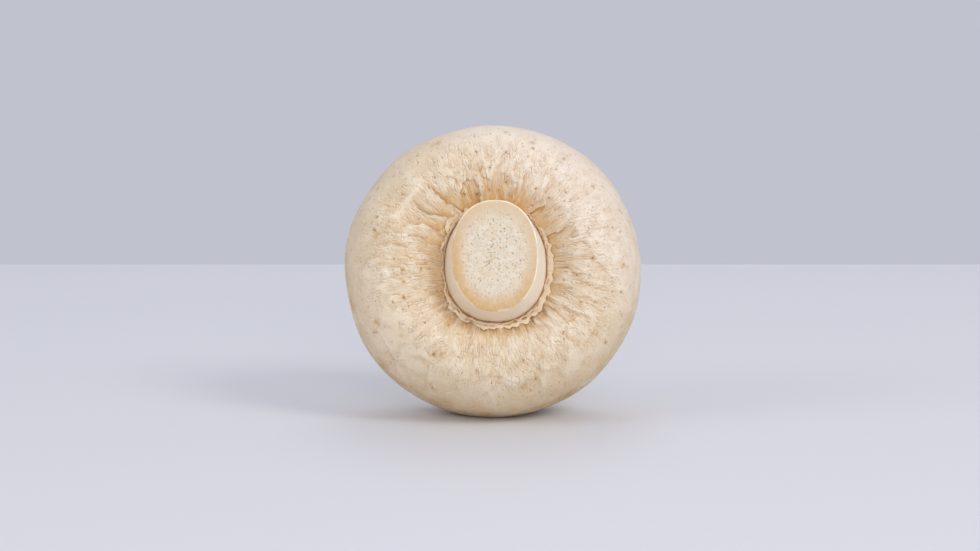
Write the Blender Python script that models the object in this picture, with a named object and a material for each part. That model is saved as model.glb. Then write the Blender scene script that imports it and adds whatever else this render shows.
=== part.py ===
"""A white button mushroom, picked and trimmed, lying on the edge of its cap with the cut stem towards -Y.

Every shape is worked out in the mushroom's own frame, whose origin is the middle of the cap: u runs to
the right, v up the cap and w along the stem, from the cap's widest circle at w = 0 to the cut.
Metres, +Z up. The model's origin is the middle of the flat spot that the cap rests on.
"""

import math
import random

import bmesh
import bpy
from mathutils import Vector, noise

MM = 0.001

# How the mushroom lies
LEAN = math.radians(11.5)  # the stem points this far above level
CENTRE_HEIGHT = 24.45 * MM  # from the flat spot to the middle of the cap
FLAT_AHEAD = 0.8 * MM  # the flat spot's middle is this far in front of the cap's middle

# Cap
CAP_RADIUS = 24.85 * MM
WIDER_ACROSS = 0.20 * MM  # the cap is a little wider than it is tall
FULLER_BELOW = 0.45 * MM  # and reaches further below its middle than above
HEEL = 0.7 * MM  # the crown is fuller towards the spot that it rests on
CROWN_HEIGHT = 17.0 * MM
CROWN_POWER = 2.35  # 2 is an ellipse, more is squarer
RIDGE_RADIUS = 16.2 * MM  # the top of the rolled margin
RIDGE_HEIGHT = 13.5 * MM
ROLL_POWER = 2.0
FUNNEL_HEIGHT = 9.2 * MM  # where the skin meets the stem
FUNNEL_BEND = 2.0  # how much steeper the funnel gets towards the stem
SOCKET_HEIGHT = -2.0 * MM  # the stem is rooted this deep in the flesh
LUMP_DEPTH = 0.35 * MM  # the skin is gently uneven all over
LUMP_SIZE = 11.0 * MM
CREASE_WIDTH = math.radians(7.0)
# Each crease of the skin beside the stem: its direction in degrees, its depth and how far up the roll it runs
CREASES = (
    (20, 0.25 * MM, 0.7),
    (58, 0.30 * MM, 0.6),
    (84, 0.25 * MM, 0.8),
    (112, 0.50 * MM, 1.0),
    (128, 0.55 * MM, 1.2),
    (147, 0.60 * MM, 1.4),
    (168, 0.35 * MM, 1.0),
    (196, 0.25 * MM, 0.8),
    (228, 0.25 * MM, 0.7),
    (262, 0.20 * MM, 0.6),
    (304, 0.30 * MM, 0.8),
    (341, 0.30 * MM, 0.9),
)

# Stem: an oval that narrows and shifts upwards from the funnel to the cut
STEM_POWER = 2.2
STEM_FOOT = (0.4 * MM, -0.2 * MM)
STEM_FOOT_HALF = (8.40 * MM, 9.40 * MM)
STEM_CUT = (0.3 * MM, 0.90 * MM)
STEM_CUT_HALF = (7.00 * MM, 9.05 * MM)
CUT_HEIGHT = 15.6 * MM
CUT_SLOPE = math.tan(math.radians(5.0))  # the upper edge of the cut stands further out
CUT_ROUND = 0.5 * MM  # the skin turns in this far at the cut's edge

# Veil: the torn band of skin left round the stem
VEIL_THICKNESS = 0.8 * MM
# Its width to the right, upper right, top and so on round the stem
VEIL_WIDTHS = (0.8 * MM, 0.7 * MM, 0.6 * MM, 1.4 * MM, 0.5 * MM, 0.8 * MM, 1.2 * MM, 1.2 * MM)
VEIL_RAGGED = 0.25 * MM
VEIL_TEARS = 60
VEIL_WAVE = 0.15 * MM  # how far its face lifts off the cap here and there
VEIL_SEED = 5

GAP = 0.3 * MM  # between pieces that touch

CAP_STEPS = 90
STEM_STEPS = 60
VEIL_STEPS = 120
VEIL_SIDES = 8
CROWN_STATIONS = 14
ROLL_STATIONS = 10
FUNNEL_STATIONS = 8


def clear_scene():
    for old in list(bpy.data.objects):
        bpy.data.objects.remove(old, do_unlink=True)


def plain_material(name, colour, roughness):
    material = bpy.data.materials.new(name)
    material.use_nodes = True
    shader = material.node_tree.nodes["Principled BSDF"]
    shader.inputs["Base Color"].default_value = (*colour, 1.0)
    shader.inputs["Roughness"].default_value = roughness
    shader.inputs["Metallic"].default_value = 0.0
    return material


def signed_power(value, power):
    return math.copysign(abs(value) ** power, value)


def blend(first, second, share):
    return first + (second - first) * share


def stations(first, last, count):
    """Evenly spaced numbers after first, up to last."""
    return [blend(first, last, (i + 1) / count) for i in range(count)]


def revolved(profile, steps):
    """A bmesh of the (radius, height) profile turned once round the w axis."""
    bm = bmesh.new()
    chain = [bm.verts.new((radius, 0.0, height)) for radius, height in profile]
    edges = [bm.edges.new(pair) for pair in zip(chain, chain[1:])]
    bmesh.ops.spin(
        bm,
        geom=chain + edges,
        axis=(0, 0, 1),
        cent=(0, 0, 0),
        angle=math.tau,
        steps=steps,
        use_merge=True,
    )
    bmesh.ops.remove_doubles(bm, verts=bm.verts, dist=1e-5)
    return bm


def moulded(bm, place):
    """Moves each vertex of a revolved unit shape to place(turn, radius, height)."""
    for vert in bm.verts:
        turn = math.atan2(vert.co.y, vert.co.x)
        radius = math.hypot(vert.co.x, vert.co.y)
        vert.co = place(turn, radius, vert.co.z)
    bmesh.ops.recalc_face_normals(bm, faces=bm.faces)


def oval(turn, centre, half):
    """A point (u, v) of the stem's oval section."""
    power = 2 / STEM_POWER
    return Vector(
        (
            centre[0] + half[0] * signed_power(math.cos(turn), power),
            centre[1] + half[1] * signed_power(math.sin(turn), power),
            0.0,
        )
    )


def round_stem(turn, room):
    """The stem's section where it enters the funnel, grown by room."""
    return oval(turn, STEM_FOOT, [half + room for half in STEM_FOOT_HALF])


def outline_radius(turn):
    """The cap's widest circle, slightly out of round."""
    return CAP_RADIUS + WIDER_ACROSS * math.cos(2 * turn) - FULLER_BELOW * math.sin(turn)


def crease_depth(turn, up_roll):
    """How far the creases sink the skin. up_roll is 0 at the stem and 1 at the ridge."""
    depth = 0.0
    for direction, deepest, reach in CREASES:
        aside = math.remainder(turn - math.radians(direction), math.tau) / CREASE_WIDTH
        fade = max(0.0, 1 - up_roll / reach)
        depth += deepest * math.exp(-aside * aside) * math.sin(math.pi * fade**0.7)
    return depth


def funnel_floor(turn, up_roll):
    """Height w of the skin between the stem, where up_roll is 0, and the ridge, where it is 1."""
    rise = 1 - (1 - up_roll) ** FUNNEL_BEND
    return blend(FUNNEL_HEIGHT, RIDGE_HEIGHT, rise) - crease_depth(turn, up_roll)


def cap_place(turn, radius, station):
    """A point of the cap. The stations run from the crown's pole (0) over the widest circle (1), the ridge
    of the rolled margin (2), the stem's hole (3) and the socket's edge (4) to the socket's middle (5)."""
    along = Vector((math.cos(turn), math.sin(turn), 0.0))
    ridge = along * RIDGE_RADIUS
    hole = round_stem(turn, GAP)
    bulge = noise.noise(along * CAP_RADIUS / LUMP_SIZE + Vector((0, 0, station))) * LUMP_DEPTH
    if station <= 1:
        arc = station * math.pi / 2
        heel = HEEL * max(0.0, -math.sin(turn)) ** 6 * math.sin(2 * arc)
        reach = outline_radius(turn) * math.sin(arc) ** (2 / CROWN_POWER) + heel
        height = CROWN_HEIGHT * math.cos(arc) ** (2 / CROWN_POWER)
        return along * (reach + bulge * math.sin(arc)) * radius - Vector((0, 0, height))
    if station <= 2:
        arc = (station - 1) * math.pi / 2
        roll = outline_radius(turn) + bulge * math.cos(arc) - RIDGE_RADIUS
        reach = RIDGE_RADIUS + roll * math.cos(arc) ** (2 / ROLL_POWER)
        height = RIDGE_HEIGHT * math.sin(arc) ** (2 / ROLL_POWER)
        up_roll = 1 + (1 - math.sin(arc))
        height += (bulge - crease_depth(turn, up_roll)) * math.sin(arc)
        return along * reach + Vector((0, 0, height))
    if station <= 3:
        up_roll = 3 - station
        height = funnel_floor(turn, up_roll) + bulge * up_roll
        return hole.lerp(ridge, up_roll) + Vector((0, 0, height))
    if station <= 4:
        height = blend(FUNNEL_HEIGHT, SOCKET_HEIGHT, station - 3)
        return hole + Vector((0, 0, height))
    middle = Vector((*STEM_FOOT, 0.0))
    return middle.lerp(hole, radius) + Vector((0, 0, SOCKET_HEIGHT))


def cut_flat_spot(bm):
    """Slices off what would reach below the surface that the mushroom lies on."""
    up = Vector((0, math.cos(LEAN), math.sin(LEAN)))
    sliced = bmesh.ops.bisect_plane(
        bm,
        geom=bm.verts[:] + bm.edges[:] + bm.faces[:],
        plane_co=-up * CENTRE_HEIGHT,
        plane_no=up,
        clear_inner=True,
    )
    rim = [item for item in sliced["geom_cut"] if isinstance(item, bmesh.types.BMEdge)]
    bmesh.ops.edgenet_fill(bm, edges=rim)


def finished(name, bm, material, sharp_degrees=50):
    """Turns a bmesh in the mushroom's own frame into an object that lies as the mushroom does."""
    mesh = bpy.data.meshes.new(name)
    bmesh.ops.recalc_face_normals(bm, faces=bm.faces)
    bm.to_mesh(mesh)
    bm.free()
    mesh.shade_smooth()
    mesh.set_sharp_from_angle(angle=math.radians(sharp_degrees))
    mesh.materials.append(material)
    piece = bpy.data.objects.new(name, mesh)
    bpy.context.scene.collection.objects.link(piece)
    piece.rotation_euler = (math.pi / 2 - LEAN, 0, 0)
    piece.location = (0, FLAT_AHEAD, CENTRE_HEIGHT)
    return piece


def build_cap(material):
    """The cap: crown, rolled margin, funnel and the socket in which the stem is rooted."""
    profile = [(0, 0)]
    profile += [(1, s) for s in stations(0, 1, CROWN_STATIONS)]
    profile += [(1, s) for s in stations(1, 2, ROLL_STATIONS)]
    profile += [(1, s) for s in stations(2, 3, FUNNEL_STATIONS)]
    profile += [(1, 4), (0, 5)]
    bm = revolved(profile, CAP_STEPS)
    moulded(bm, cap_place)
    cut_flat_spot(bm)
    return finished("cap", bm, material)


def stem_place(turn, radius, height):
    """A point of the stem. Below the funnel it keeps its foot's section; above it narrows to the cut."""
    share = max(0.0, (height - FUNNEL_HEIGHT) / (CUT_HEIGHT - FUNNEL_HEIGHT))
    centre = [blend(foot, cut, share) for foot, cut in zip(STEM_FOOT, STEM_CUT)]
    half = [blend(foot, cut, share) for foot, cut in zip(STEM_FOOT_HALF, STEM_CUT_HALF)]
    place = Vector((*centre, 0.0)).lerp(oval(turn, centre, half), radius)
    place.z = height + CUT_SLOPE * (place.y - centre[1]) * share
    return place


def build_stem(material):
    """The stem, from its root in the socket to the flat trimmed end."""
    foot = SOCKET_HEIGHT + GAP
    rounding = 1 - CUT_ROUND / STEM_CUT_HALF[0]
    profile = [(0, foot), (1, foot)]
    profile += [(1, height) for height in stations(foot, FUNNEL_HEIGHT, 2)]
    profile += [(1, height) for height in stations(FUNNEL_HEIGHT, CUT_HEIGHT - CUT_ROUND, 6)]
    profile += [(blend(1, rounding, 0.3), CUT_HEIGHT - 0.3 * CUT_ROUND)]
    profile += [(rounding, CUT_HEIGHT), (0, CUT_HEIGHT)]
    bm = revolved(profile, STEM_STEPS)
    moulded(bm, stem_place)
    return finished("stem", bm, material, sharp_degrees=35)


def round_the_ring(values, share):
    """The value at a share of a full turn, between evenly spaced values."""
    place = share % 1 * len(values)
    before = int(place)
    return blend(values[before], values[(before + 1) % len(values)], place - before)


def build_veil(material):
    """The veil's torn edge: a ragged band round the stem, lying on the funnel."""
    draw = random.Random(VEIL_SEED)
    tears = [draw.uniform(-VEIL_RAGGED, VEIL_RAGGED) for _ in range(VEIL_TEARS)]
    slope = math.hypot(1, FUNNEL_BEND * (RIDGE_HEIGHT - FUNNEL_HEIGHT) / (RIDGE_RADIUS - STEM_FOOT_HALF[1]))

    def place(turn, radius, height):
        side = math.atan2(height, radius - 2)
        share = turn / math.tau
        width = round_the_ring(VEIL_WIDTHS, share) + round_the_ring(tears, share)
        outward = width * (1 + math.cos(side)) / 2
        inner = round_stem(turn, GAP)
        ridge = Vector((math.cos(turn), math.sin(turn), 0.0)) * RIDGE_RADIUS
        up_roll = outward / (ridge - inner).length
        wave = VEIL_WAVE * noise.noise(Vector((math.cos(turn), math.sin(turn), 0.5)) * 4)
        lift = GAP * slope + VEIL_THICKNESS * (1 + math.sin(side)) / 2 + abs(wave)
        floor = blend(FUNNEL_HEIGHT, RIDGE_HEIGHT, 1 - (1 - up_roll) ** FUNNEL_BEND)
        return inner.lerp(ridge, up_roll) + Vector((0, 0, floor + lift))

    section = [math.tau * side / VEIL_SIDES for side in range(VEIL_SIDES + 1)]
    bm = revolved([(2 + math.cos(side), math.sin(side)) for side in section], VEIL_STEPS)
    moulded(bm, place)
    return finished("veil_ring", bm, material)


def main():
    clear_scene()
    build_cap(plain_material("cap_skin", (0.78, 0.66, 0.50), 0.6))
    build_stem(plain_material("stem_flesh", (0.80, 0.70, 0.54), 0.65))
    build_veil(plain_material("veil_skin", (0.72, 0.55, 0.36), 0.7))


main()
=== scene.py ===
"""A white button mushroom lying on the edge of its cap, with the trimmed end of its stem towards the camera.

The mushroom's own frame has its origin in the middle of the cap: u runs to the right, v up the cap and w
along the stem, from the cap's widest circle at w = 0 to the cut. Lengths are in metres.
"""

import math
import random

import bmesh
import bpy
from mathutils import Matrix, Vector, kdtree, noise


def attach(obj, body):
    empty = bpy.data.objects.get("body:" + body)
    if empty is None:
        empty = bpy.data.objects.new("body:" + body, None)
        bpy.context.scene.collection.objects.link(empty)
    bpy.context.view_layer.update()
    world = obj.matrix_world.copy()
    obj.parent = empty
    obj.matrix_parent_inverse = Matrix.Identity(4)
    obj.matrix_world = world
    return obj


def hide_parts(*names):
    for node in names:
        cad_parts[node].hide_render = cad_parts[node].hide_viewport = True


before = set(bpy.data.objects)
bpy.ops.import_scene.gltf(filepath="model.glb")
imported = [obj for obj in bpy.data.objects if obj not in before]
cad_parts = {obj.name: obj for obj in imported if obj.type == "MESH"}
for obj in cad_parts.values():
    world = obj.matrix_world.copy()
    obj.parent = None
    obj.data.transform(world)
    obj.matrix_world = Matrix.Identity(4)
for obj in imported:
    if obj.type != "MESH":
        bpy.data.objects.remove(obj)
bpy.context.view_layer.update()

# Camera: it stands in front of the cut stem and a little above it, and looks slightly down.
# The photograph is 980 by 551 pixels, and the mushroom spans 296 of its width.
VIEW_ELEVATION = math.radians(7.0)
VIEW_DISTANCE = 0.391
VIEW_AIM = Vector((-0.0005, 0.0, 0.0234))

camera = bpy.data.objects.new("camera", bpy.data.cameras.new("camera"))
camera.data.lens = 85
camera.data.clip_start = 0.01
looking = Vector((0, math.cos(VIEW_ELEVATION), -math.sin(VIEW_ELEVATION)))
camera.location = VIEW_AIM - looking * VIEW_DISTANCE
camera.rotation_euler = looking.to_track_quat("-Z", "Y").to_euler()
bpy.context.scene.collection.objects.link(camera)
bpy.context.scene.camera = camera

# Light: a studio with pale walls, a large soft light up on the right, a weaker one on the left, one
# overhead and one low in front. The walls give the even light from all round, and they are the background.
bpy.context.scene.view_settings.view_transform = "Standard"
studio = bpy.data.worlds.new("studio")
studio.use_nodes = True
walls = studio.node_tree.nodes["Background"]
walls.inputs["Color"].default_value = (0.527, 0.539, 0.617, 1)
walls.inputs["Strength"].default_value = 1.0
bpy.context.scene.world = studio


def soft_light(name, place, width, power, colour):
    lamp = bpy.data.lights.new(name, "AREA")
    lamp.shape = "DISK"
    lamp.size = width
    lamp.energy = power
    lamp.color = colour
    holder = bpy.data.objects.new(name, lamp)
    holder.location = place
    holder.rotation_euler = (VIEW_AIM - Vector(place)).to_track_quat("-Z", "Y").to_euler()
    bpy.context.scene.collection.objects.link(holder)


soft_light("key_light", (0.60, -0.50, 0.65), 0.38, 2.9, (1.0, 0.985, 0.965))
soft_light("left_light", (-0.80, -0.35, 0.50), 0.5, 1.4, (0.98, 0.98, 1.0))
soft_light("top_light", (0.05, 0.55, 0.75), 0.5, 0.9, (1.0, 0.99, 0.97))
soft_light("front_light", (0.10, -0.95, 0.30), 0.5, 2.9, (1.0, 0.99, 0.97))

# Table: a smooth pale board with a plain far edge. The mushroom lies near the middle of it.
# It is part of the studio and not of the object.
TABLE_BACK = 0.216
TABLE_FRONT = -1.2
TABLE_HALF_WIDTH = 1.6
TABLE_THICKNESS = 0.02

bm = bmesh.new()
bmesh.ops.create_cube(bm, size=1)
bmesh.ops.scale(bm, vec=(2 * TABLE_HALF_WIDTH, TABLE_BACK - TABLE_FRONT, TABLE_THICKNESS), verts=bm.verts)
bmesh.ops.translate(bm, vec=(0, (TABLE_BACK + TABLE_FRONT) / 2, -TABLE_THICKNESS / 2), verts=bm.verts)
bmesh.ops.bevel(
    bm, geom=bm.edges[:], affect="EDGES", offset=0.0015, segments=4, profile=0.5, material=-1
)
table_mesh = bpy.data.meshes.new("table")
bm.to_mesh(table_mesh)
bm.free()
table_mesh.shade_smooth()
table_mesh.set_sharp_from_angle(angle=math.radians(30))
table = bpy.data.objects.new("table", table_mesh)
bpy.context.scene.collection.objects.link(table)
board = bpy.data.materials.new("board")
board.use_nodes = True
board.node_tree.nodes["Principled BSDF"].inputs["Base Color"].default_value = (0.745, 0.75, 0.775, 1)
board.node_tree.nodes["Principled BSDF"].inputs["Roughness"].default_value = 0.6
table_mesh.materials.append(board)


# Cap: the round fleshy head, with a smooth crown behind, a thick rolled margin and a funnel of wrinkled
# skin down to the stem. It grew in one piece. It lies on its edge, on a small spot that its weight has
# pressed flat.
MM = 0.001
LEAN = math.radians(11.5)  # the stem points this far above level
CENTRE_HEIGHT = 24.45 * MM  # from the flat spot to the middle of the cap
FLAT_AHEAD = 0.8 * MM  # the flat spot's middle is this far in front of the cap's middle
LYING = Matrix.Translation((0, FLAT_AHEAD, CENTRE_HEIGHT)) @ Matrix.Rotation(math.pi / 2 - LEAN, 4, "X")

CAP_RADIUS = 24.85 * MM
WIDER_ACROSS = 0.20 * MM  # the cap is a little wider than it is tall
FULLER_BELOW = 0.45 * MM  # and reaches further below its middle than above
HEEL = 0.7 * MM  # the crown is fuller towards the spot that it rests on
CROWN_HEIGHT = 17.0 * MM
CROWN_POWER = 2.35  # 2 is an ellipse, more is squarer
RIDGE_RADIUS = 16.2 * MM  # the top of the rolled margin
RIDGE_HEIGHT = 13.5 * MM
ROLL_POWER = 2.0
FUNNEL_HEIGHT = 9.2 * MM  # where the skin meets the stem
FUNNEL_BEND = 2.0  # how much steeper the funnel gets towards the stem
SOCKET_HEIGHT = -2.0 * MM  # the floor of the socket that the stem is rooted in
LUMP_DEPTH = 0.35 * MM  # the skin is gently uneven all over
LUMP_SIZE = 11.0 * MM
STEM_POWER = 2.2
STEM_FOOT = (0.4 * MM, -0.2 * MM)  # the middle and the half widths of the stem's oval in the funnel
STEM_FOOT_HALF = (8.40 * MM, 9.40 * MM)
HOLE_GRIP = 0.05 * MM  # the cap's skin closes this far into the stem's side
GAP = 0.3 * MM  # between the stem's root and the floor of its socket

# Each broad crease beside the stem: direction in degrees, depth, and how far up the roll it runs
CREASE_WIDTH = math.radians(7.0)
CREASES = (
    (20, 0.25 * MM, 0.7),
    (58, 0.30 * MM, 0.6),
    (84, 0.25 * MM, 0.8),
    (112, 0.50 * MM, 1.0),
    (128, 0.55 * MM, 1.2),
    (147, 0.60 * MM, 1.4),
    (168, 0.35 * MM, 1.0),
    (196, 0.25 * MM, 0.8),
    (228, 0.25 * MM, 0.7),
    (262, 0.20 * MM, 0.6),
    (304, 0.30 * MM, 0.8),
    (341, 0.30 * MM, 0.9),
)
# Each lip, where one plate of skin laps over the next: how high it stands, and the line it follows, as
# directions in degrees and rises. The high side is the left hand one, as seen from the stem's end.
LIPS = (
    (0.19 * MM, ((123, 0.05), (126, 0.30), (129, 0.48), (130.5, 0.78), (131, 1.05))),
    (0.17 * MM, ((138, 0.02), (138, 0.28), (142, 0.44), (144, 0.68), (144.5, 0.95))),
    (0.13 * MM, ((117, 0.40), (114.5, 0.56), (112.5, 0.70), (108.5, 0.73), (104.5, 0.72), (102, 0.66))),
    (0.10 * MM, ((102, 0.68), (101, 0.44), (102, 0.20), (104, 0.02))),
    (0.08 * MM, ((97.5, 0.72), (95.5, 0.70), (93, 0.66), (90.5, 0.58))),
    (0.09 * MM, ((119, 0.98), (116, 0.94), (113.5, 0.84), (115, 0.66))),
    (0.10 * MM, ((98, 0.70), (98.5, 0.86), (96, 0.98))),
    (0.11 * MM, ((152.5, 0.26), (153.5, 0.36), (152, 0.52), (154, 0.72), (156.5, 0.92))),
    (0.10 * MM, ((140, 0.03), (148, 0.18), (153, 0.30))),
    (0.08 * MM, ((162.5, 0.46), (162, 0.64), (164, 0.84))),
    (0.08 * MM, ((170.5, 0.75), (170.5, 0.98), (169, 1.06))),
    (0.08 * MM, ((180.5, 0.36), (180, 0.62))),
    (0.08 * MM, ((184, 0.28), (183, 0.46))),
    (0.08 * MM, ((211, 0.48), (210.5, 0.68))),
    (0.16 * MM, ((30, 0.02), (26, 0.12), (25, 0.36), (26, 0.60))),
    (0.10 * MM, ((17.5, 0.82), (16.5, 0.72), (18, 0.54))),
    (0.09 * MM, ((352, 0.58), (356, 0.51), (356.5, 0.28))),
    (0.08 * MM, ((1.5, 1.06), (1.5, 0.78))),
    (0.14 * MM, ((57, 0.03), (52, 0.25), (46, 0.55))),
    (0.10 * MM, ((321, 0.86), (322, 0.62), (324, 0.36))),
    (0.10 * MM, ((328, 1.02), (324, 1.00), (320, 0.92))),
    (0.09 * MM, ((314, 1.24), (314, 1.05), (318, 0.92))),
    (0.07 * MM, ((214, 1.42), (224.5, 1.50), (234, 1.74))),
    (0.06 * MM, ((262, 1.18), (270, 1.16), (284, 1.30))),
)
# Each tan stain: its direction in degrees, its rise and its half width in mm
STAINS = (
    (240, 1.08, 1.6),
    (207, 1.40, 1.3),
    (98, 0.97, 1.2),
    (26, 0.10, 0.8),
    (326, 1.28, 1.7),
    (352, 1.16, 0.7),
    (359, 1.42, 1.0),
    (167, 1.26, 0.9),
    (115, 1.53, 1.3),
    (72, 1.41, 0.7),
    (269, 1.15, 0.7),
    (284, 1.34, 1.0),
    (195, 1.78, 1.8),
    (222, 1.80, 2.2),
    (300, 1.85, 2.4),
    (40, 2.45, 2.2),
    (150, 2.65, 1.5),
    (285, 2.30, 1.8),
)
# Where the skin has stayed or healed smooth: direction in degrees, rise, half width along and across
SMOOTH_PATCHES = ((210, 1.26, 0.14, 10), (230, 1.27, 0.13, 12), (310, 1.31, 0.10, 7), (324, 0.98, 0.07, 4))


def blend(first, second, share):
    return first + (second - first) * share


def ease(value, low, high):
    """0 below low, 1 above high and smooth between them."""
    share = min(1.0, max(0.0, (value - low) / (high - low)))
    return share * share * (3 - 2 * share)


def stations(first, last, count):
    return [blend(first, last, (i + 1) / count) for i in range(count)]


def signed_power(value, power):
    return math.copysign(abs(value) ** power, value)


def revolved(profile, steps):
    """A bmesh of the (radius, height) profile turned once round the w axis: a grid, rolled up and closed."""
    bm = bmesh.new()
    last = len(profile) - 1
    bmesh.ops.create_grid(bm, x_segments=steps, y_segments=last, size=1)
    for vert in bm.verts:
        turn = math.pi * vert.co.x
        radius, height = profile[round((vert.co.y + 1) / 2 * last)]
        vert.co = (radius * math.cos(turn), radius * math.sin(turn), height)
    bmesh.ops.remove_doubles(bm, verts=bm.verts, dist=1e-5)
    return bm


def finished(name, bm, node):
    """Lays the bmesh down as the mushroom lies, and makes it the piece that stands for the CAD node."""
    bmesh.ops.transform(bm, matrix=LYING, verts=bm.verts)
    bmesh.ops.recalc_face_normals(bm, faces=bm.faces)
    mesh = bpy.data.meshes.new(name)
    bm.to_mesh(mesh)
    bm.free()
    mesh.shade_smooth()
    piece = bpy.data.objects.new(name, mesh)
    bpy.context.scene.collection.objects.link(piece)
    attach(piece, "root")
    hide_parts(node)
    return piece


def oval(turn, centre, half):
    """A point (u, v) of the stem's oval section."""
    power = 2 / STEM_POWER
    return Vector(
        (
            centre[0] + half[0] * signed_power(math.cos(turn), power),
            centre[1] + half[1] * signed_power(math.sin(turn), power),
            0.0,
        )
    )


def round_stem(turn, room):
    return oval(turn, STEM_FOOT, [half + room for half in STEM_FOOT_HALF])


def outline_radius(turn):
    return CAP_RADIUS + WIDER_ACROSS * math.cos(2 * turn) - FULLER_BELOW * math.sin(turn)


def crease_depth(turn, up_roll):
    depth = 0.0
    for direction, deepest, reach in CREASES:
        aside = math.remainder(turn - math.radians(direction), math.tau) / CREASE_WIDTH
        fade = max(0.0, 1 - up_roll / reach)
        depth += deepest * math.exp(-aside * aside) * math.sin(math.pi * fade**0.7)
    return depth


def funnel_floor(turn, up_roll):
    rise = 1 - (1 - up_roll) ** FUNNEL_BEND
    return blend(FUNNEL_HEIGHT, RIDGE_HEIGHT, rise) - crease_depth(turn, up_roll)


def cap_place(turn, radius, station):
    """A point of the cap's plain form. The stations run from the crown's pole (0) over the widest
    circle (1), the ridge of the rolled margin (2), the stem's hole (3) and the socket's edge (4) to its
    middle (5)."""
    along = Vector((math.cos(turn), math.sin(turn), 0.0))
    ridge = along * RIDGE_RADIUS
    hole = round_stem(turn, -HOLE_GRIP)
    bulge = noise.noise(along * CAP_RADIUS / LUMP_SIZE + Vector((0, 0, station))) * LUMP_DEPTH
    if station <= 1:
        arc = station * math.pi / 2
        heel = HEEL * max(0.0, -math.sin(turn)) ** 6 * math.sin(2 * arc)
        reach = outline_radius(turn) * math.sin(arc) ** (2 / CROWN_POWER) + heel
        height = CROWN_HEIGHT * math.cos(arc) ** (2 / CROWN_POWER)
        return along * (reach + bulge * math.sin(arc)) * radius - Vector((0, 0, height))
    if station <= 2:
        arc = (station - 1) * math.pi / 2
        roll = outline_radius(turn) + bulge * math.cos(arc) - RIDGE_RADIUS
        reach = RIDGE_RADIUS + roll * math.cos(arc) ** (2 / ROLL_POWER)
        height = RIDGE_HEIGHT * math.sin(arc) ** (2 / ROLL_POWER)
        up_roll = 1 + (1 - math.sin(arc))
        height += (bulge - crease_depth(turn, up_roll)) * math.sin(arc)
        return along * reach + Vector((0, 0, height))
    if station <= 3:
        up_roll = 3 - station
        height = funnel_floor(turn, up_roll) + bulge * up_roll
        return hole.lerp(ridge, up_roll) + Vector((0, 0, height))
    if station <= 4:
        height = blend(FUNNEL_HEIGHT, SOCKET_HEIGHT, station - 3)
        return hole + Vector((0, 0, height))
    middle = Vector((*STEM_FOOT, 0.0))
    return middle.lerp(hole, radius) + Vector((0, 0, SOCKET_HEIGHT))


def path_to(rise):
    """The way along the skin in mm, from the stem to a rise."""
    return 8.6 * min(rise, 1) + 18 * min(max(rise - 1, 0), 1) + 26 * max(rise - 2, 0)


def lap_relief(turn, reach, rise):
    """How the lapping plates lift the skin: high on one side of each lip, with a dip on the other.
    reach is the distance from the stem's axis in mm."""
    relief = 0.0
    for lip, line in LIPS:
        first, last = line[0], line[-1]
        span = math.radians(abs(first[0] - last[0]) / 2) + 3 / reach
        if abs(math.remainder(turn - math.radians((first[0] + last[0]) / 2), math.tau)) > span:
            continue
        if not min(first[1], last[1]) - 0.3 < rise < max(first[1], last[1]) + 0.3:
            continue
        wander = noise.noise_vector(Vector((turn * 14, path_to(rise) * 0.8, lip / MM))).xy * 0.4
        nearest, aside = 3.0, 0.0
        for number, (start, end) in enumerate(zip(line, line[1:])):
            away = path_to(rise) - path_to(start[1])
            here = Vector((math.remainder(turn - math.radians(start[0]), math.tau) * reach, away)) + wander
            step = Vector((math.radians(end[0] - start[0]) * reach, path_to(end[1]) - path_to(start[1])))
            share = here.dot(step) / step.length_squared
            distance = (here - step * min(1.0, max(0.0, share))).length
            if distance < nearest:
                nearest = distance
                aside = math.copysign(distance, here.x * step.y - here.y * step.x)
                along_line = (number + share) / (len(line) - 1)
        if nearest < 3:
            fade = ease(along_line, -0.12, 0.10) * ease(1 - along_line, -0.12, 0.25)
            side = math.exp(-aside / 0.8) if aside > 0 else -1.1 * math.exp(aside / 0.35)
            relief += lip * side * fade
    return relief


def smoothness(turn, rise):
    """1 inside the smooth patches and 0 well away from them."""
    if not 0.7 < rise < 1.7:
        return 0.0
    smooth = 0.0
    spot = Vector((math.cos(turn), math.sin(turn), rise * 0.9)) * 7
    turn += 0.30 * noise.noise(spot)
    rise += 0.22 * noise.noise(spot * 1.3 + Vector((4, 0, 0)))
    for direction, middle, half, half_turn in SMOOTH_PATCHES:
        aside = math.remainder(turn - math.radians(direction), math.tau) / math.radians(half_turn)
        smooth = max(smooth, math.exp(-((aside**2 + ((rise - middle) / half) ** 2) ** 2)))
    return smooth


def staining(turn, reach, rise):
    """How strongly the skin is stained, from 0 to 1."""
    stained = 0.0
    for direction, middle, half in STAINS:
        aside = math.remainder(turn - math.radians(direction), math.tau) * reach / half
        away = (path_to(rise) - path_to(middle)) / half
        stained = max(stained, math.exp(-(aside**2 + away**2)))
    return stained


# The relief of the fibres and flakes, in mm
FLAKE_HEIGHT = 0.23
FURROW_DEPTH = 0.10
SLIT_DEPTH = 0.06


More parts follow.
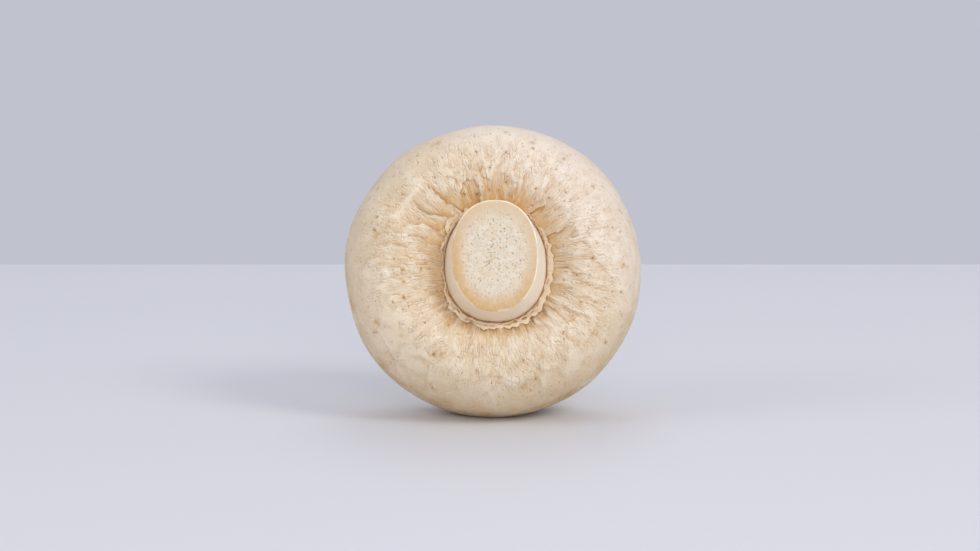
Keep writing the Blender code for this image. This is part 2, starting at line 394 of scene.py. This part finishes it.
def fibre_relief(turn, rise):
    """How far the fine fibres and flakes lift the skin in mm, and how deep in a furrow it lies and how
    high on a flake, both from 0 to 1. rise is 0 at the stem, 1 on the ridge, 2 on the widest circle and
    3 in the middle of the crown."""
    along = Vector((math.cos(turn), math.sin(turn), 0.0))
    across = Vector((-along.y, along.x, 0.0))
    outward = Vector((0, 0, path_to(rise)))
    patchy = noise.noise(along * 2.2 + outward * 0.16)
    rough = ease(1.62 - rise + 0.25 * patchy, 0.0, 0.55) * (1 - 0.9 * smoothness(turn, rise))
    rough *= 0.55 + 0.45 * ease(rise, 0.0, 0.35)
    soft = 0.02 * noise.noise(along * 14 + outward * 0.3) * ease(3 - rise, 0.0, 0.3)
    if rough < 0.001:
        return soft, 0.0, 0.0
    drift = noise.noise_vector(along * 5 + outward * 0.35) * 0.45
    strand = noise.noise(along * 17 + outward * 0.20 + drift)
    thread = noise.noise(along * 27 + outward * 0.34 + drift * 1.5)
    broken = ease(noise.noise(along * 13 + outward * 0.45), -0.15, 0.15)
    push = across * 0.7 * noise.noise(along * 12 + outward * 0.34 + drift)
    flake = noise.noise(along * 12 + outward * 0.34 + drift + push)
    furrow = math.exp(-abs(strand) / 0.11) * broken
    slit = math.exp(-abs(thread) / 0.12) * (1 - 0.5 * broken)
    crisp = 0.8 + 0.7 * ease(math.cos(turn + math.radians(38)), 0.3, 0.9)
    lift = crisp * (FLAKE_HEIGHT * flake - FURROW_DEPTH * furrow - SLIT_DEPTH * slit)
    deep = 0.65 * furrow + 0.4 * slit + max(0.0, -1.2 * flake)
    return soft + rough * lift, min(1.0, rough * deep), min(1.0, rough * max(0.0, 1.8 * flake))


# The seed fixes how the fibres and the lips wander, so they are the same in each run.
FIBRE_SEED = 3
CAP_STEPS = 800
noise.seed_set(FIBRE_SEED)
bm = revolved(
    [(0, 0)]
    + [(1, s) for s in stations(0, 1, 30)]
    + [(1, s) for s in stations(1, 1.5, 20)]
    + [(1, s) for s in stations(1.5, 2, 34)]
    + [(1, s) for s in stations(2, 3, 32)]
    + [(1, 3.4), (1, 4), (0, 5)],
    CAP_STEPS,
)
layers = bm.verts.layers.float
rise_layer = layers.new("rise")
hollow_layer = layers.new("hollow")
raised_layer = layers.new("raised")
stain_layer = layers.new("stain")
smooth_layer = layers.new("smooth")
lap_shadow_layer = layers.new("lap_shadow")
turns = {}
for vert in bm.verts:
    turns[vert] = math.atan2(vert.co.y, vert.co.x)
    station = vert.co.z
    vert[rise_layer] = 3 - station
    vert.co = cap_place(turns[vert], math.hypot(vert.co.x, vert.co.y), station)
bmesh.ops.recalc_face_normals(bm, faces=bm.faces)
bm.normal_update()
lifted = []
for vert in bm.verts:
    rise = vert[rise_layer]
    if rise < 0:
        continue
    turn = turns[vert]
    reach = math.hypot(vert.co.x, vert.co.y) / MM
    lift, hollow, raised = fibre_relief(turn, rise)
    lap = lap_relief(turn, reach, rise) / MM if rise < 1.9 else 0.0
    # Masks for the colour: painted shade in the hollows and under the laps, painted highlights on flakes and
    # lips
    vert[hollow_layer] = hollow
    vert[lap_shadow_layer] = min(1.0, max(0.0, -lap) / 0.09)
    vert[raised_layer] = min(1.0, raised + max(0.0, lap) / 0.2)
    vert[stain_layer] = staining(turn, reach, rise)
    vert[smooth_layer] = smoothness(turn, rise)
    lifted.append((vert, vert.co + vert.normal * (lift + lap) * MM * ease(rise, -0.01, 0.06)))
for vert, place in lifted:
    vert.co = place
up = Vector((0, math.cos(LEAN), math.sin(LEAN)))
sliced = bmesh.ops.bisect_plane(
    bm,
    geom=bm.verts[:] + bm.edges[:] + bm.faces[:],
    plane_co=-up * CENTRE_HEIGHT,
    plane_no=up,
    clear_inner=True,
)
flat_rim = [item for item in sliced["geom_cut"] if isinstance(item, bmesh.types.BMEdge)]
bmesh.ops.edgenet_fill(bm, edges=flat_rim)
cap = finished("cap_skin", bm, "cap")


class Shade:
    """An output in a material's node tree. Arithmetic on it adds the Math nodes that it stands for."""

    def __init__(self, tree, socket):
        self.tree = tree
        self.socket = socket

    def node(self, kind, settings, sockets, output=0):
        """A new node of the same tree, with its settings, then its sockets' values or links."""
        made = self.tree.nodes.new(kind)
        for name, value in settings.items():
            setattr(made, name, value)
        for name, value in sockets.items():
            if isinstance(value, Shade):
                self.tree.links.new(value.socket, made.inputs[name])
            else:
                made.inputs[name].default_value = value
        return Shade(self.tree, made.outputs[output])

    def maths(self, operation, *values):
        return self.node("ShaderNodeMath", {"operation": operation}, dict(enumerate(values)))

    def __abs__(self):
        return self.maths("ABSOLUTE", self)

    def __add__(self, other):
        return self.maths("ADD", self, other)

    def __radd__(self, other):
        return self.maths("ADD", other, self)

    def __sub__(self, other):
        return self.maths("SUBTRACT", self, other)

    def __rsub__(self, other):
        return self.maths("SUBTRACT", other, self)

    def __mul__(self, other):
        return self.maths("MULTIPLY", self, other)

    def __rmul__(self, other):
        return self.maths("MULTIPLY", other, self)

    def __pow__(self, power):
        return self.maths("POWER", self, power)

    def ease(self, low, high):
        """0 below low, 1 above high and smooth between them."""
        settings = {"interpolation_type": "SMOOTHSTEP"}
        return self.node("ShaderNodeMapRange", settings, {"Value": self, "From Min": low, "From Max": high})

    def vector(self, operation, other):
        return self.node("ShaderNodeVectorMath", {"operation": operation}, {0: self, 1: other})

    def noise(self, scale, detail=3.0, roughness=0.5):
        sockets = {"Vector": self, "Scale": scale, "Detail": detail, "Roughness": roughness}
        return self.node("ShaderNodeTexNoise", {}, sockets)

    def dots(self, scale, radius, kept):
        """Round dots on a jittered flat grid. Only about the kept share of the grid's places has one."""
        sockets = {"Vector": self, "Scale": scale}
        flat = {"voronoi_dimensions": "2D"}
        middle = self.node("ShaderNodeTexVoronoi", flat, sockets, "Distance")
        chance = self.node("ShaderNodeTexVoronoi", flat, sockets, "Color")
        parts = [chance.node("ShaderNodeSeparateColor", {}, {0: chance}, output) for output in (0, 1)]
        edge = radius * scale
        near = (middle - parts[1] * edge * 0.6).ease(edge * 0.9, edge * 0.3)
        return near * parts[0].maths("LESS_THAN", parts[0], kept)

    def tinted(self, share, colour):
        """This colour, mixed with another by a share."""
        return self.node(
            "ShaderNodeMix", {"data_type": "RGBA"}, {0: share, 6: self, 7: colour}, "Result"
        )


def srgb(red, green, blue):
    """A colour as picked in the photograph, as the shader's linear values."""
    channels = []
    for value in (red, green, blue):
        share = value / 255
        channels.append(share / 12.92 if share <= 0.04045 else ((share + 0.055) / 1.055) ** 2.4)
    return (*channels, 1.0)


def coloured(tree, colour):
    node = tree.nodes.new("ShaderNodeRGB")
    node.outputs[0].default_value = colour
    return Shade(tree, node.outputs[0])


def mushroom_material(name, roughness, glow, depth):
    """A Principled material, and the object's coordinates in the mushroom's own frame, in mm."""
    material = bpy.data.materials.new(name)
    material.use_nodes = True
    tree = material.node_tree
    shader = tree.nodes["Principled BSDF"]
    shader.inputs["Roughness"].default_value = roughness
    shader.inputs["Specular IOR Level"].default_value = 0.35
    shader.inputs["Subsurface Weight"].default_value = glow
    shader.inputs["Subsurface Radius"].default_value = (1.0, 0.75, 0.5)
    shader.inputs["Subsurface Scale"].default_value = depth
    coordinates = tree.nodes.new("ShaderNodeTexCoord")
    place = Shade(tree, coordinates.outputs["Object"])
    settings = {"vector_type": "TEXTURE"}
    sockets = {
        "Vector": place,
        "Location": (0, FLAT_AHEAD, CENTRE_HEIGHT),
        "Rotation": (math.pi / 2 - LEAN, 0, 0),
        "Scale": (MM, MM, MM),
    }
    return material, tree, shader, place.node("ShaderNodeMapping", settings, sockets)


CREAM = srgb(224, 205, 174)
PALE_CREAM = srgb(235, 221, 197)
OCHRE = srgb(222, 175, 102)
TAN = srgb(192, 150, 98)
BROWN = srgb(152, 100, 42)


def split(place):
    return [place.node("ShaderNodeSeparateXYZ", {}, {0: place}, axis) for axis in "XYZ"]


def joined(x, y, z):
    return x.node("ShaderNodeCombineXYZ", {}, {"X": x, "Y": y, "Z": z})


def out_from_the_stem(place, shift):
    """Coordinates in which a pattern runs outwards from the stem, moved shift mm down and to the left."""
    u, v, w = split(place)
    u = u + shift
    v = v + shift
    reach = (u * u + v * v) ** 0.5
    return joined(u * 26 * reach**-1, v * 26 * reach**-1, reach * 0.5 - w * 0.3)


def fine_furrows(radial):
    """1 on the fine broken lines of the fibres and 0 between them."""
    lines = 1.0 - abs(radial.noise(1.25, 0.5, 0.5) - 0.5).ease(0.0, 0.045)
    threads = 1.0 - abs(radial.noise(2.1, 0.5, 0.5) - 0.5).ease(0.0, 0.05)
    return lines * radial.noise(0.7, 2.0, 0.5).ease(0.42, 0.60) + threads * 0.5


skin, tree, shader, place = mushroom_material("cap_skin", 0.55, 0.12, 0.8 * MM)
radial = out_from_the_stem(place, 0.0)
u, v, w = split(place)
upward = v * (u * u + v * v) ** -0.5
rise = place.node("ShaderNodeAttribute", {"attribute_name": "rise"}, {}, "Fac")
hollow = place.node("ShaderNodeAttribute", {"attribute_name": "hollow"}, {}, "Fac")
raised = place.node("ShaderNodeAttribute", {"attribute_name": "raised"}, {}, "Fac")
stain = place.node("ShaderNodeAttribute", {"attribute_name": "stain"}, {}, "Fac")
smooth = place.node("ShaderNodeAttribute", {"attribute_name": "smooth"}, {}, "Fac")
lap_shadow = place.node("ShaderNodeAttribute", {"attribute_name": "lap_shadow"}, {}, "Fac")
crown = rise.ease(1.9, 2.4)
fibrous = (1.0 - rise.ease(1.0, 1.75) * 0.75) * (1.0 - smooth.ease(0.1, 0.8) * 0.75)
furrows = fine_furrows(radial)

# Cream skin, paler in patches, mottled, and tan near the widest circle, with a painted highlight to the
# upper right
colour = coloured(tree, CREAM)
colour = colour.tinted(place.noise(0.16).ease(0.40, 0.62) * 0.5 + crown * 0.35, PALE_CREAM)
# Painted highlight: paler towards the upper right, where the light falls
colour = colour.tinted(((u + v) * 0.05).ease(0.3, 1.3) * 0.55, srgb(243, 232, 222))
colour = colour.tinted(smooth.ease(0.2, 0.8) * 0.35, srgb(237, 226, 208))
colour = colour.tinted(place.noise(0.45, 5.0, 0.7).ease(0.45, 0.7) * 0.3, srgb(216, 192, 156))
colour = colour.tinted(place.noise(1.3, 3.0, 0.6).ease(0.5, 0.75) * 0.4, srgb(240, 229, 212))
colour = colour.tinted(radial.noise(0.7, 5.0, 0.7).ease(0.45, 0.75) * fibrous * 0.35, srgb(214, 184, 142))
edge = rise.ease(1.3, 2.0) * (1.0 - crown * 0.8) * (0.75 - upward * 0.55)
colour = colour.tinted(edge * place.noise(0.3, 3.0, 0.6).ease(0.3, 0.7) * 0.8, srgb(204, 167, 112))
# Ochre in the funnel: partly the skin's colour, partly painted shade reaching furthest above the stem and
# into hollows
depth = rise * (1.38 - upward * 0.35) + place.noise(0.9) * 0.3 - 0.15 + (raised - hollow) * 0.15
colour = colour.tinted((1.0 - depth.ease(0.0, 1.05)) * (0.50 + abs(upward) * 0.42), OCHRE)
# Painted shadow of the stem, on the funnel below it
below = (0.0 - upward).ease(0.1, 0.9) * (1.0 - depth.ease(0.1, 0.85))
colour = colour.tinted(below * 0.75, srgb(178, 134, 84))
# Brown where the skin meets the stem, partly the skin's colour and partly painted shade in the crevice
colour = colour.tinted((0.08 - rise).ease(0.0, 0.08) * 0.6, srgb(190, 130, 66))
# Painted shade in hollows, furrows and dips under the laps; painted highlights on flakes, lips and lit
# furrow sides
colour = colour.tinted(hollow * (0.12 + rise.ease(0.1, 0.8) * 0.33), TAN)
colour = colour.tinted(raised * 0.46, srgb(249, 239, 221))
lit_sides = fine_furrows(out_from_the_stem(place, 0.13))
colour = colour.tinted(lit_sides * fibrous * 0.52, srgb(252, 243, 228))
# Painted shadow in the dip beside each lap
colour = colour.tinted(lap_shadow * (0.68 - rise.ease(0.9, 1.4) * 0.5), srgb(190, 136, 68))
colour = colour.tinted(furrows * fibrous * (0.30 + rise.ease(0.2, 0.9) * 0.18), srgb(182, 138, 84))
colour = colour.tinted(place.noise(5.0, 2.0, 0.6).ease(0.5, 0.72) * 0.25, srgb(206, 178, 138))
# Flecks on the crown, and tan stains
flecks = radial.noise(1.7, 4.0, 0.65).ease(0.56, 0.68) * crown
colour = colour.tinted(flecks * 0.22, srgb(204, 174, 132))
blotches = place.noise(0.28, 4.0, 0.6).ease(0.56, 0.70) * place.noise(1.1).ease(0.35, 0.7)
spread = stain * (place.noise(1.4, 4.0, 0.7) * 2.2 - 0.55)
colour = colour.tinted(spread.ease(0.1, 0.9) * 0.85 + blotches * (0.34 - crown * 0.2), srgb(193, 149, 90))
# Small brown dots: a flat pattern as seen along the stem, and another wrapped round the cap's side
sideways = joined(u.maths("ARCTAN2", u, v) * 24.5, w, w)
wander = place.node("ShaderNodeTexNoise", {}, {"Vector": place, "Scale": 1.3}, "Color")
around = rise.ease(1.5, 1.6) * (1.0 - rise.ease(2.4, 2.5))
for scale, radius, kept, share, tone in (
    (0.42, 0.46, 0.22, 0.30, TAN),
    (0.42, 0.17, 0.22, 0.72, BROWN),
    (0.75, 0.14, 0.18, 0.62, srgb(166, 116, 54)),
    (1.5, 0.11, 0.30, 0.45, srgb(174, 134, 82)),
):
    facing = place.vector("ADD", wander).dots(scale, radius, kept)
    beside = sideways.vector("ADD", wander).dots(scale, radius, kept)
    shown = (1.0 - crown * 0.65) * (1.0 - smooth.ease(0.1, 0.5) * 0.7) * share
    colour = colour.tinted((facing * (1.0 - around) + beside * around * 0.6) * shown, tone)
tree.links.new(colour.socket, shader.inputs["Base Color"])
grain = place.noise(3.5, 3.0, 0.6) * 0.5 - furrows * fibrous
bump = grain.node("ShaderNodeBump", {}, {"Height": grain, "Strength": 0.8, "Distance": 0.09 * MM})
tree.links.new(bump.socket, shader.inputs["Normal"])
cap.data.materials.append(skin)


# Stem: the short stalk that carries the cap. It is solid pale flesh under a thin smooth skin, and a knife
# has cut it off flat, so its end shows fine pores and an edge that has turned ochre in the air.
STEM_CUT = (0.3 * MM, 0.90 * MM)
STEM_CUT_HALF = (7.00 * MM, 9.05 * MM)
CUT_HEIGHT = 15.6 * MM
CUT_SLOPE = math.tan(math.radians(5.0))
CUT_ROUND = 0.25 * MM  # the skin turns in this far at the cut's edge
STEM_STEPS = 300
PORE_SEED = 11
PORES = 190
# The depth of a pore, and the place, width and height of a low bump on the cut, all in mm
PORE_DEPTH = 0.16
KNOB = Vector((-0.5, -3.1, 0))
KNOB_WIDTH = 0.75
KNOB_HEIGHT = 0.10


def stem_place(turn, radius, height):
    share = max(0.0, (height - FUNNEL_HEIGHT) / (CUT_HEIGHT - FUNNEL_HEIGHT))
    centre = [blend(foot, cut, share) for foot, cut in zip(STEM_FOOT, STEM_CUT)]
    half = [blend(foot, cut, share) for foot, cut in zip(STEM_FOOT_HALF, STEM_CUT_HALF)]
    point = Vector((*centre, 0.0)).lerp(oval(turn, centre, half), radius)
    point.z = height + CUT_SLOPE * (point.y - centre[1]) * share
    return point


draw = random.Random(PORE_SEED)
pores = kdtree.KDTree(PORES)
pore_sizes = []
for number in range(PORES):
    turn = draw.uniform(0, math.tau)
    spread = 0.78 * draw.random() ** 0.62
    pore = stem_place(turn, spread, CUT_HEIGHT)
    pores.insert((pore.x, pore.y, 0), number)
    pore_sizes.append(draw.choice((0.07, 0.08, 0.09, 0.10, 0.11, 0.15)) * MM)
pores.balance()

root = SOCKET_HEIGHT + GAP
rounding = 1 - CUT_ROUND / STEM_CUT_HALF[0]
bm = revolved(
    [(0, root), (1, root)]
    + [(1, height) for height in stations(root, FUNNEL_HEIGHT, 3)]
    + [(1, height) for height in stations(FUNNEL_HEIGHT, CUT_HEIGHT - CUT_ROUND, 24)]
    + [(blend(1, rounding, 0.12), CUT_HEIGHT - 0.5 * CUT_ROUND)]
    + [(blend(1, rounding, 0.5), CUT_HEIGHT - 0.12 * CUT_ROUND)]
    + [(radius, CUT_HEIGHT) for radius in stations(rounding, 0.0, 74)],
    STEM_STEPS,
)
rim_layer = bm.verts.layers.float.new("rim")
pit_layer = bm.verts.layers.float.new("pit")
for vert in bm.verts:
    turn = math.atan2(vert.co.y, vert.co.x)
    radius = math.hypot(vert.co.x, vert.co.y)
    height = vert.co.z
    on_cut = height > CUT_HEIGHT - 0.6 * CUT_ROUND
    vert.co = stem_place(turn, radius, height)
    vert[rim_layer] = radius if on_cut else 2.0
    if on_cut:
        _, number, distance = pores.find((vert.co.x, vert.co.y, 0))
        size = pore_sizes[number]
        pit = math.exp(-((distance / size) ** 2))
        vert[pit_layer] = pit
        spot = Vector((vert.co.x, vert.co.y, 0)) / MM
        knob = math.exp(-(((spot - KNOB).length / KNOB_WIDTH) ** 2))
        waves = 0.05 * noise.noise(spot * 0.45) + 0.022 * noise.noise(spot * 2.4)
        vert.co.z += (waves + KNOB_HEIGHT * knob - PORE_DEPTH * pit) * MM
    elif height > FUNNEL_HEIGHT:
        along = Vector((math.cos(turn), math.sin(turn), 0.0))
        vert.co += along * 0.05 * MM * noise.noise(along * 5 + Vector((0, 0, height / MM * 0.12)))
stem = finished("stem_flesh", bm, "stem")
stem.data.set_sharp_from_angle(angle=math.radians(40))

flesh, tree, shader, place = mushroom_material("stem_flesh", 0.6, 0.15, 0.8 * MM)
rim = place.node("ShaderNodeAttribute", {"attribute_name": "rim"}, {}, "Fac")
pit = place.node("ShaderNodeAttribute", {"attribute_name": "pit"}, {}, "Fac")
u, v, _ = split(place)
radial = out_from_the_stem(place, 0.0)
side = (rim - 1.0).ease(0.3, 0.5)
# Pale mottled flesh, ochre towards the rim of the cut, with dots and pores, and paler skin on the side
colour = coloured(tree, srgb(219, 204, 181))
colour = colour.tinted(place.noise(0.9, 4.0, 0.6).ease(0.35, 0.7) * 0.5, srgb(214, 196, 165))
colour = colour.tinted(place.noise(3.0, 3.0, 0.6).ease(0.5, 0.8) * 0.35, srgb(238, 231, 220))
low_left = (0.0 - v * 0.07 - u * 0.04).ease(-0.7, 0.5)
uneven = place.noise(0.7, 4.0, 0.65) * 0.34 + radial.noise(0.6, 3.0, 0.6) * 0.16 - 0.25
aged = (rim + uneven).ease(0.60, 0.96) * (0.42 + low_left * 0.5)
mottled = place.noise(0.8, 4.0, 0.7) * 0.7 + place.noise(2.4, 3.0, 0.6) * 0.6 + 0.25
colour = colour.tinted(aged * mottled, srgb(203, 161, 98))
fibres = radial.noise(1.3, 3.0, 0.6).ease(0.5, 0.7) * rim.ease(0.6, 0.9)
colour = colour.tinted(fibres * 0.15, srgb(240, 222, 186))
pith = place.noise(0.8, 4.0, 0.65).ease(0.45, 0.65) * (0.9 - rim).ease(0.0, 0.4)
colour = colour.tinted(pith * 0.5, srgb(230, 223, 210))
colour = colour.tinted(place.dots(2.3, 0.13, 0.35) * (0.9 - rim).ease(0.0, 0.2) * 0.25, srgb(242, 235, 222))
faint = place.dots(1.9, 0.11, 0.5) * 0.4 + place.dots(1.0, 0.14, 0.40) * 0.42
colour = colour.tinted(faint * (0.86 - rim).ease(0.0, 0.12), srgb(168, 146, 112))
colour = colour.tinted(pit.ease(0.2, 0.9) * 0.6, srgb(136, 112, 82))
# Painted highlight along the upper right of the cut's rim
painted_rim_highlight = place.noise(0.5).ease(0.35, 0.6) * 0.5 + (u * 0.06 + v * 0.05).ease(-0.4, 0.5) * 0.5
colour = colour.tinted(rim.ease(0.968, 0.985) * painted_rim_highlight, srgb(252, 240, 216))
colour = colour.tinted(side, srgb(237, 222, 198))
# Painted highlight: the side's skin is paler towards the right, where the light falls
colour = colour.tinted(side * (u * 0.1).ease(-0.3, 1.0), srgb(242, 232, 217))
tree.links.new(colour.socket, shader.inputs["Base Color"])
grain = place.noise(4.0, 3.0, 0.6)
bump = grain.node("ShaderNodeBump", {}, {"Height": grain, "Strength": 0.3, "Distance": 0.05 * MM})
tree.links.new(bump.socket, shader.inputs["Normal"])
stem.data.materials.append(flesh)


# Veil: the thin skin that once closed the gap from the cap's edge to the stem. It has torn off and dried
# to a ragged double band round the stem, widest below it, with a dark crevice on its inner side.
VEIL_STEPS = 1000
VEIL_LIFT = 0.10 * MM  # how far it lies off the cap's skin
# Its width all round in mm, every 22.5 degrees from the right
VEIL_WIDTHS = (
    (0.90, 0.55, 0.25, 0.10, 0.10, 0.40, 1.10, 0.45) + (0.15, 0.30, 1.00, 0.85, 0.90, 0.75, 1.15, 0.85)
)


def round_the_ring(values, share):
    """The value at a share of a full turn, between evenly spaced values."""
    place = share % 1 * len(values)
    before = int(place)
    return blend(values[before], values[(before + 1) % len(values)], place - before)


def veil_layer(name, seed, inner, share_of_width, thickness, lifted_edge):
    """One torn layer: a thin ribbon that lies on the funnel, with its outer edge lifted off the skin."""

    def place(turn, radius, height):
        side = math.atan2(height, radius - 2)
        across = (1 + math.cos(side)) / 2
        along = Vector((math.cos(turn), math.sin(turn), seed))
        broad, fine, finest = [noise.noise(along * often) for often in (7, 15, 43)]
        width = round_the_ring(VEIL_WIDTHS, turn / math.tau) * MM * share_of_width
        ragged = 1 - 0.75 * ease(math.cos(turn), 0.5, 0.95)
        width *= max(0.15, 1 + ragged * (0.9 * broad + 0.2 * fine + 0.16 * finest))
        start = round_stem(turn, 0)
        ridge = Vector((math.cos(turn), math.sin(turn), 0.0)) * RIDGE_RADIUS
        gap = inner * max(0.1, 1 + 1.6 * noise.noise(along * 11))
        up_roll = (gap + width * across) / (ridge - start).length
        wave = max(0.0, 0.5 + 1.3 * noise.noise(along * 6) + 0.25 * fine)
        both_edges = 1.2 * across**2 + 0.5 * (1 - across) ** 2
        curl = lifted_edge * wave * ragged * min(1.0, width / (0.5 * MM)) * both_edges
        slope = thickness * min(1.0, width / (0.3 * MM)) * math.sin(side) / 2 * (1 - 0.4 * across)
        floor = blend(FUNNEL_HEIGHT, RIDGE_HEIGHT, 1 - (1 - up_roll) ** FUNNEL_BEND)
        return start.lerp(ridge, up_roll) + Vector((0, 0, floor + curl + slope + VEIL_LIFT))

    section = [math.tau * step / 20 for step in range(21)]
    bm = revolved([(2 + math.cos(side), math.sin(side)) for side in section], VEIL_STEPS)
    across_layer = bm.verts.layers.float.new("across")
    for vert in bm.verts:
        turn = math.atan2(vert.co.y, vert.co.x)
        radius = math.hypot(vert.co.x, vert.co.y)
        vert[across_layer] = (radius - 1) / 2
        vert.co = place(turn, radius, vert.co.z)
    return finished(name, bm, "veil_ring")


veil_under = veil_layer("veil_under_layer", 2, 0.30 * MM, 1.0, 0.18 * MM, 0.35 * MM)
veil_over = veil_layer("veil_over_layer", 5, 0.16 * MM, 0.50, 0.18 * MM, 0.70 * MM)

torn, tree, shader, place = mushroom_material("veil_skin", 0.6, 0.15, 0.5 * MM)
across = place.node("ShaderNodeAttribute", {"attribute_name": "across"}, {}, "Fac")
# Pale cream with tan streaks, and brown on the side next to the stem: partly the veil's browning, partly
# painted shade of the crevice
colour = coloured(tree, srgb(243, 224, 194))
streaks = out_from_the_stem(place, 0.0).noise(0.5, 4.0, 0.65)
colour = colour.tinted(streaks.ease(0.5, 0.72) * 0.55, srgb(206, 160, 104))
colour = colour.tinted(place.noise(4.0).ease(0.5, 0.75) * 0.4, srgb(226, 190, 142))
browning_and_crevice_shade = (0.62 - across - place.noise(0.8) * 0.5).ease(0.0, 0.2)
colour = colour.tinted(browning_and_crevice_shade * 0.6, srgb(180, 126, 62))
tree.links.new(colour.socket, shader.inputs["Base Color"])
grain = place.noise(5.0, 3.0, 0.6)
bump = grain.node("ShaderNodeBump", {}, {"Height": grain, "Strength": 0.4, "Distance": 0.05 * MM})
tree.links.new(bump.socket, shader.inputs["Normal"])
veil_under.data.materials.append(torn)
veil_over.data.materials.append(torn)
